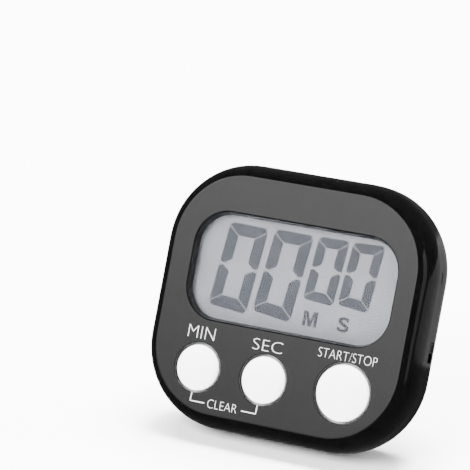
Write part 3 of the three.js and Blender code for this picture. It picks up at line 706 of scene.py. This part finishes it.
def lcd_letters(look):
    """The small M, whose halves mirror each other, and the small S under the digits."""
    left, right, low, high = LETTER_M_BOX
    count = len(HALF_M)
    outline = HALF_M + [(1 - x, y) for x, y in reversed(HALF_M)]
    points = [
        (left + x * (right - left), SEGMENT_FRONT, low + y * (high - low)) for x, y in outline
    ]
    faces = [list(range(count - 1, -1, -1)), list(range(2 * count - 1, count - 1, -1))]
    letter_m = thicken(solid("lcd_letter_m", points, faces), INK_THICK)
    finish_piece(letter_m, "case", look)
    depth = SEGMENT_FRONT + INK_THICK
    letter_s = lettering("lcd_letter_s", "S", LETTER_S_BOX, depth, INK_THICK, LCD_WEIGHT)
    finish_piece(letter_s, "case", look)


def face_print(look):
    for name, text, box in FACE_LABELS:
        label = lettering(name, text, box, PRINT_DEPTH, PRINT_THICK, PRINT_WEIGHT)
        finish_piece(label, "case", look)
    for name, places in BRACKETS.items():
        bracket(name, places, look)


def bracket(name, places, look):
    """A printed line that turns a corner."""
    half = BRACKET_LINE / 2
    points, faces = [], []
    for (x0, z0), (x1, z1) in zip(places, places[1:]):
        along = (Vector((x1, z1)) - Vector((x0, z0))).normalized()
        side = Vector((-along.y, along.x)) * half
        a, b = Vector((x0, z0)) - along * half, Vector((x1, z1)) + along * half
        start = len(points)
        for p in (a - side, b - side, b + side, a + side):
            points.append((p.x, PRINT_DEPTH - PRINT_THICK, p.y))
        faces.append(list(range(start, start + 4)))
    made = thicken(solid(name, points, faces), PRINT_THICK)
    return finish_piece(made, "case", look)


# ------------------------------------------------------------------ materials
def new_material(name):
    """An empty procedural material and its node tree."""
    made = bpy.data.materials.new(name)
    made.use_nodes = True
    made.node_tree.nodes.clear()
    return made, made.node_tree


def add(tree, kind, **inputs):
    """A node with values set on its inputs, an underscore standing for a space."""
    node = tree.nodes.new(kind)
    for key, value in inputs.items():
        node.inputs[key.replace("_", " ")].default_value = value
    return node


def noise(tree, scale, detail=4.0, stretch=(1, 1, 1)):
    """Noise over the object's own coordinates; scale is per metre."""
    place = tree.nodes.new("ShaderNodeTexCoord")
    mapping = add(tree, "ShaderNodeMapping", Scale=stretch)
    tree.links.new(place.outputs["Object"], mapping.inputs["Vector"])
    made = add(tree, "ShaderNodeTexNoise", Scale=scale, Detail=detail)
    tree.links.new(mapping.outputs["Vector"], made.inputs["Vector"])
    return made.outputs["Fac"]


def spread(tree, source, low, high, start=0.35, end=0.65):
    """Carries a texture value into the range low to high."""
    made = add(tree, "ShaderNodeMapRange")
    for key, value in (("From Min", start), ("From Max", end), ("To Min", low), ("To Max", high)):
        made.inputs[key].default_value = value
    tree.links.new(source, made.inputs["Value"])
    return made.outputs["Result"]


def ramp(tree, source, first, second, start=0.35, end=0.65):
    """Carries a texture value into the colours first to second."""
    made = tree.nodes.new("ShaderNodeValToRGB")
    stops = zip(made.color_ramp.elements, ((start, first), (end, second)))
    for stop, (position, colour) in stops:
        stop.position = position
        stop.color = (*colour, 1)
    tree.links.new(source, made.inputs["Fac"])
    return made.outputs["Color"]


def blend_colour(tree, share, first, second):
    made = tree.nodes.new("ShaderNodeMix")
    made.data_type = "RGBA"
    tree.links.new(share, made.inputs["Factor"])
    tree.links.new(first, made.inputs["A"])
    tree.links.new(second, made.inputs["B"])
    return made.outputs["Result"]


def show(tree, shader_output):
    output = tree.nodes.new("ShaderNodeOutputMaterial")
    tree.links.new(shader_output, output.inputs["Surface"])


WEAR_START, WEAR_END, WEAR_STRETCH = 0.635, 0.78, (1, 1, 0.3)
BEVEL_SAMPLES = 4


def surface(
    name,
    colours,
    rough,
    metallic=0.0,
    grain=900.0,
    bump=0.02,
    bump_grain=4000.0,
    worn=None,
    coat=0.0,
    edge=0.15,
    stretch=(1, 1, 1),
    specular=0.5,
):
    """A procedural finish. colours are two close tones, rough is the range of roughness, worn is
    the tone of sparse rubbed specks, bump is a height in millimetres, and edge is how far
    the light rounds off an edge."""
    made, tree = new_material(name)
    shader = add(tree, "ShaderNodeBsdfPrincipled", Metallic=metallic)
    shader.inputs["Coat Weight"].default_value = coat
    shader.inputs["Specular IOR Level"].default_value = specular
    tone = ramp(tree, noise(tree, grain, 5.0, stretch), *colours)
    if worn:
        flecks = noise(tree, 2.6 * grain, 6.0, WEAR_STRETCH)
        specks = spread(tree, flecks, 0, 1, WEAR_START, WEAR_END)
        rubbed = ramp(tree, noise(tree, 0.4 * grain, 2.0), worn, worn)
        tone = blend_colour(tree, specks, tone, rubbed)
    tree.links.new(tone, shader.inputs["Base Color"])
    tree.links.new(spread(tree, noise(tree, 1.7 * grain, 5.0), *rough), shader.inputs["Roughness"])
    relief = add(tree, "ShaderNodeBump", Strength=1.0, Distance=bump * MM)
    tree.links.new(noise(tree, bump_grain, 3.0, stretch), relief.inputs["Height"])
    if edge:
        rounded = add(tree, "ShaderNodeBevel", Radius=edge * MM)
        rounded.samples = BEVEL_SAMPLES
        tree.links.new(rounded.outputs["Normal"], relief.inputs["Normal"])
    tree.links.new(relief.outputs["Normal"], shader.inputs["Normal"])
    show(tree, shader.outputs["BSDF"])
    return made


LENS_MIRROR = (0.012, 0.9)  # how much the lens mirrors, seen straight on and edge on
LENS_STEEPNESS = 5


def clear_plastic(name):
    """Clear sheet: light passes straight through, and the surface mirrors a little."""
    made, tree = new_material(name)
    through = tree.nodes.new("ShaderNodeBsdfTransparent")
    tint = ramp(tree, noise(tree, 120, 3.0), (0.965, 0.972, 0.98), (0.985, 0.988, 0.992))
    tree.links.new(tint, through.inputs["Color"])
    mirror = tree.nodes.new("ShaderNodeBsdfGlossy")
    sheen = ramp(tree, noise(tree, 300, 2.0), (0.9, 0.9, 0.9), (1.0, 1.0, 1.0))
    tree.links.new(sheen, mirror.inputs["Color"])
    tree.links.new(spread(tree, noise(tree, 700), 0.01, 0.03), mirror.inputs["Roughness"])
    relief = add(tree, "ShaderNodeBump", Strength=1.0, Distance=0.0004 * MM)
    tree.links.new(noise(tree, 1500), relief.inputs["Height"])
    tree.links.new(relief.outputs["Normal"], mirror.inputs["Normal"])
    slant = add(tree, "ShaderNodeLayerWeight", Blend=0.5)
    steep = tree.nodes.new("ShaderNodeMath")
    steep.operation = "POWER"
    steep.inputs[1].default_value = LENS_STEEPNESS
    tree.links.new(slant.outputs["Facing"], steep.inputs[0])
    share = spread(tree, steep.outputs["Value"], *LENS_MIRROR, 0, 1)
    mixed = tree.nodes.new("ShaderNodeMixShader")
    tree.links.new(share, mixed.inputs["Fac"])
    tree.links.new(through.outputs["BSDF"], mixed.inputs[1])
    tree.links.new(mirror.outputs["BSDF"], mixed.inputs[2])
    show(tree, mixed.outputs["Shader"])
    return made


def finishes():
    """Every finish by its short name: two tones, a range of roughness, and the rest by name."""
    return {
        "gloss": surface(
            "gloss_black", ((0.0004, 0.0004, 0.00045), (0.0008, 0.0008, 0.00085)), (0.07, 0.11),
            grain=260, bump=0.0006, bump_grain=900, worn=(0.0018, 0.0018, 0.0018), edge=0,
        ),
        "matte": surface(
            "matte_black", ((0.004, 0.004, 0.0042), (0.007, 0.007, 0.0072)), (0.42, 0.55),
            grain=500, bump=0.012, bump_grain=7000, worn=(0.011, 0.011, 0.011),
        ),
        "knob": surface(
            "knob_black", ((0.006, 0.006, 0.0064), (0.011, 0.011, 0.0115)), (0.4, 0.52),
            grain=900, bump=0.008, bump_grain=6000, worn=(0.02, 0.02, 0.02),
        ),
        "button": surface(
            "button_white", ((0.86, 0.86, 0.86), (0.9, 0.9, 0.9)), (0.3, 0.4),
            grain=220, bump=0.002, bump_grain=2500, worn=(0.8, 0.8, 0.79), edge=0,
        ),
        "print": surface(
            "print_white", ((0.36, 0.36, 0.36), (0.44, 0.44, 0.44)), (0.45, 0.6),
            grain=1500, bump=0.001, worn=(0.5, 0.5, 0.5), edge=0,
        ),
        "lcd": surface(
            "lcd_ground", ((0.118, 0.121, 0.129), (0.128, 0.131, 0.139)), (0.45, 0.55),
            grain=60, bump=0.0008, bump_grain=3000, worn=(0.108, 0.111, 0.119), edge=0,
            specular=0.1,
        ),
        "ink": surface(
            "lcd_ink", ((0.025, 0.027, 0.032), (0.029, 0.031, 0.036)), (0.45, 0.55),
            grain=90, bump=0.0005, bump_grain=3000, worn=(0.034, 0.036, 0.041), edge=0,
            specular=0.1,
        ),
        "plastic": surface(
            "white_plastic", ((0.72, 0.72, 0.7), (0.8, 0.8, 0.78)), (0.35, 0.5),
            grain=400, bump=0.006, worn=(0.6, 0.6, 0.57),
        ),
        "pink": surface(
            "silicone_pink", ((0.62, 0.34, 0.34), (0.72, 0.42, 0.42)), (0.6, 0.75),
            grain=1200, bump=0.01, worn=(0.5, 0.3, 0.3), stretch=(6, 1, 1),
        ),
        "grey": surface(
            "silicone_grey", ((0.42, 0.44, 0.47), (0.5, 0.52, 0.55)), (0.65, 0.8),
            grain=500, bump=0.01, worn=(0.34, 0.35, 0.37),
        ),
        "board": surface(
            "board_green", ((0.015, 0.075, 0.025), (0.03, 0.13, 0.045)), (0.3, 0.45),
            grain=700, bump=0.02, bump_grain=2500, worn=(0.25, 0.2, 0.08), coat=0.3,
        ),
        "epoxy": surface(
            "epoxy_black", ((0.006, 0.006, 0.006), (0.012, 0.012, 0.012)), (0.12, 0.3),
            grain=600, bump=0.03, bump_grain=1500, worn=(0.03, 0.03, 0.03),
        ),
        "steel": surface(
            "steel", ((0.42, 0.43, 0.45), (0.55, 0.56, 0.58)), (0.22, 0.4), metallic=1.0,
            grain=900, bump=0.006, worn=(0.3, 0.27, 0.24), stretch=(1, 1, 4),
        ),
        "nickel": surface(
            "nickel", ((0.5, 0.49, 0.46), (0.62, 0.6, 0.56)), (0.2, 0.35), metallic=1.0,
            grain=900, bump=0.006, worn=(0.35, 0.33, 0.3), stretch=(1, 1, 5),
        ),
        "brass": surface(
            "brass", ((0.5, 0.34, 0.12), (0.62, 0.43, 0.17)), (0.25, 0.42), metallic=1.0,
            grain=800, bump=0.006, worn=(0.3, 0.2, 0.09),
        ),
        "ceramic": surface(
            "ceramic", ((0.62, 0.58, 0.48), (0.72, 0.69, 0.6)), (0.5, 0.7),
            grain=1200, bump=0.01, worn=(0.5, 0.46, 0.38),
        ),
        "chip": surface(
            "chip_ceramic", ((0.2, 0.15, 0.09), (0.28, 0.21, 0.14)), (0.4, 0.6),
            grain=1500, bump=0.01, worn=(0.4, 0.38, 0.34),
        ),
        "jacket": surface(
            "cell_jacket", ((0.008, 0.03, 0.1), (0.014, 0.045, 0.14)), (0.25, 0.4),
            grain=300, bump=0.01, bump_grain=900, worn=(0.06, 0.08, 0.13), coat=0.2,
        ),
        "ferrite": surface(
            "magnet_ferrite", ((0.035, 0.035, 0.037), (0.06, 0.06, 0.063)), (0.45, 0.65),
            metallic=0.3, grain=1500, bump=0.03, bump_grain=3500, worn=(0.12, 0.12, 0.12),
        ),
        "red": surface(
            "wire_red", ((0.4, 0.02, 0.02), (0.52, 0.035, 0.03)), (0.4, 0.55),
            grain=1500, bump=0.008, worn=(0.6, 0.2, 0.18),
        ),
        "black_wire": surface(
            "wire_black", ((0.012, 0.012, 0.012), (0.022, 0.022, 0.022)), (0.4, 0.55),
            grain=1500, bump=0.008, worn=(0.06, 0.06, 0.06),
        ),
        "clear": clear_plastic("clear_plastic"),
    }


# The CAD nodes that stay as they are, by finish.
CAD_LOOKS = {
    "nickel": ["lcd_reflector", "battery_spring", "battery_contact_minus", "battery_contact_plus"],
    "plastic": ["lcd_frame"],
    "pink": ["zebra_connector"],
    "grey": ["keypad_membrane"],
    "board": ["circuit_board"],
    "epoxy": ["chip_blob"],
    "chip": ["capacitor_1", "capacitor_2", "resistor_1", "resistor_2"],
    "steel": ["crystal", "board_screw_1", "board_screw_2", "board_screw_3", "switch_body"],
    "jacket": ["battery_cell"],
    "brass": ["piezo_disc"],
    "ceramic": ["piezo_ceramic"],
    "red": ["sounder_wire_red"],
    "black_wire": ["sounder_wire_black"],
}


def dress_cad_nodes(looks):
    for look, nodes in CAD_LOOKS.items():
        for node in nodes:
            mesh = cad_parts[node].data
            mesh.materials.clear()
            mesh.materials.append(looks[look])


# ------------------------------------------------------------------ stage, lights and camera
# Metres, in the row frame.
FLOOR_MIDDLE = 0.001  # radius of the flat face that closes the floor's middle
FLOOR_REACH = 2.0
BACKDROP_BEND, BACKDROP_HIGH = 0.6, 2.6
BACKDROP_SIDES, BACKDROP_STEPS = 96, 16


def floor_and_backdrop():
    """A pale floor that curves up all round into a backdrop, with the object in the middle."""
    line = [(FLOOR_MIDDLE, 0.0), (FLOOR_REACH, 0.0)]
    for a in quarter(BACKDROP_STEPS):
        up = BACKDROP_BEND * (1 - math.cos(a))
        line.append((FLOOR_REACH + BACKDROP_BEND * math.sin(a), up))
    line.append((FLOOR_REACH + BACKDROP_BEND, BACKDROP_HIGH))
    points, faces = [], []
    count = len(line)
    for i in range(BACKDROP_SIDES):
        turn = 2 * math.pi * i / BACKDROP_SIDES
        points += [(r * math.cos(turn), r * math.sin(turn), z) for r, z in line]
        j = (i + 1) % BACKDROP_SIDES
        for k in range(count - 1):
            a, b = i * count + k, j * count + k
            faces.append((a, a + 1, b + 1, b))
    faces.append(tuple(i * count for i in range(BACKDROP_SIDES)))
    sweep = solid("backdrop", points, faces, Matrix.Identity(4))
    for face in sweep.data.polygons:
        face.use_smooth = True
    look = surface(
        "paper", ((0.84, 0.84, 0.84), (0.87, 0.87, 0.87)), (0.7, 0.85),
        grain=6, bump=0.02, bump_grain=500, edge=0,
    )
    sweep.data.materials.append(look)
    sweep.visible_glossy = False


LAMP_TARGET = Vector((0, 0, 0.03))
CARD_TARGET = Vector((0, 0, 0.035))
ROOM_BRIGHTNESS = 0.1


def softbox(name, place, width, height, power):
    """A soft lamp that looks at the object and isn't seen in glossy surfaces."""
    light = bpy.data.lights.new(name, "AREA")
    light.shape = "RECTANGLE"
    light.size = width
    light.size_y = height
    light.energy = power
    made = bpy.data.objects.new(name, light)
    made.location = place
    made.rotation_mode = "QUATERNION"
    made.rotation_quaternion = (LAMP_TARGET - Vector(place)).to_track_quat("-Z", "Y")
    made.visible_glossy = False
    bpy.context.scene.collection.objects.link(made)


def reflection_card(name, place, aim_at, size, glow_range, span):
    """A glowing card that only glossy surfaces show. Its glow goes from the first of glow_range
    to the second across span, which is a pair of heights on the card."""
    aim = (Vector(aim_at) - Vector(place)).to_track_quat("-Z", "Y")
    w, h = size[0] / 2, size[1] / 2
    corners = [(-w, -h, 0), (-w, h, 0), (w, h, 0), (w, -h, 0)]
    card = solid(name, corners, [(0, 1, 2, 3)], Matrix.Identity(4))
    card.matrix_world = Matrix.Translation(place) @ aim.to_matrix().to_4x4()
    look, tree = new_material(name)
    glow = tree.nodes.new("ShaderNodeEmission")
    coordinates = tree.nodes.new("ShaderNodeTexCoord")
    split = tree.nodes.new("ShaderNodeSeparateXYZ")
    tree.links.new(coordinates.outputs["Object"], split.inputs[0])
    strength = spread(tree, split.outputs["Y"], *glow_range, *span)
    tree.links.new(strength, glow.inputs["Strength"])
    show(tree, glow.outputs["Emission"])
    card.data.materials.append(look)
    card.visible_camera = False
    card.visible_diffuse = False
    card.visible_shadow = False


def room_light():
    """A weak even light from all round."""
    world = bpy.data.worlds.new("room")
    world.use_nodes = True
    ground = world.node_tree.nodes["Background"]
    ground.inputs["Color"].default_value = (1, 1, 1, 1)
    ground.inputs["Strength"].default_value = ROOM_BRIGHTNESS
    bpy.context.scene.world = world


def lights():
    softbox("over", (0.05, 0.4, 1.15), 0.6, 0.6, 125)
    softbox("front", (-0.4, -1.05, 1.05), 0.9, 0.9, 80)
    softbox("backdrop_wash", (-0.4, 0.6, 1.6), 1.2, 1.0, 130)
    front, right, floor = (-0.55, -1.05, 0.50), (1.1, -0.22, 0.42), (0.43, 0.45, 0.001)
    over_floor = (floor[0], floor[1], 1)
    reflection_card("front_card", front, CARD_TARGET, (0.9, 0.9), (1.25, 3.3), (-0.13, 0.1))
    reflection_card("right_card", right, CARD_TARGET, (0.5, 0.7), (0.7, 1.1), (-0.3, 0.3))
    reflection_card("floor_card", floor, over_floor, (0.8, 0.8), (0.55, 0.75), (-0.4, 0.4))
    room_light()


CAMERA_PLACE = (0.3456, -0.7190, 0.3538)
CAMERA_AIM = (-0.4249, 0.8348, -0.3501)
CAMERA_LENS, CAMERA_SENSOR = 240.4, 36
CAMERA_NEAR, CAMERA_FAR = 0.05, 20


def camera():
    data = bpy.data.cameras.new("camera")
    data.lens = CAMERA_LENS
    data.sensor_width = CAMERA_SENSOR
    data.clip_start = CAMERA_NEAR
    data.clip_end = CAMERA_FAR
    made = bpy.data.objects.new("camera", data)
    made.location = CAMERA_PLACE
    made.rotation_mode = "QUATERNION"
    made.rotation_quaternion = Vector(CAMERA_AIM).to_track_quat("-Z", "Y")
    bpy.context.scene.collection.objects.link(made)
    bpy.context.scene.camera = made


# ------------------------------------------------------------------ assembly
def build():
    looks = finishes()
    front_housing(looks["gloss"])
    rear_cover(looks["matte"])
    battery_door(looks["matte"])
    stand(looks["matte"])
    magnet(looks["ferrite"])
    for name, (x, z) in SCREW_PLACES.items():
        case_screw(name, x, z, looks["steel"])
    for name, sizes in BUTTONS.items():
        button(name, look=looks["button"], **sizes)
    switch_knob(looks["knob"])
    display_lens(looks["clear"])
    lcd_glass(looks["lcd"])
    lcd_segments(looks["ink"])
    lcd_letters(looks["ink"])
    face_print(looks["print"])
    dress_cad_nodes(looks)
    floor_and_backdrop()
    lights()
    camera()


build()
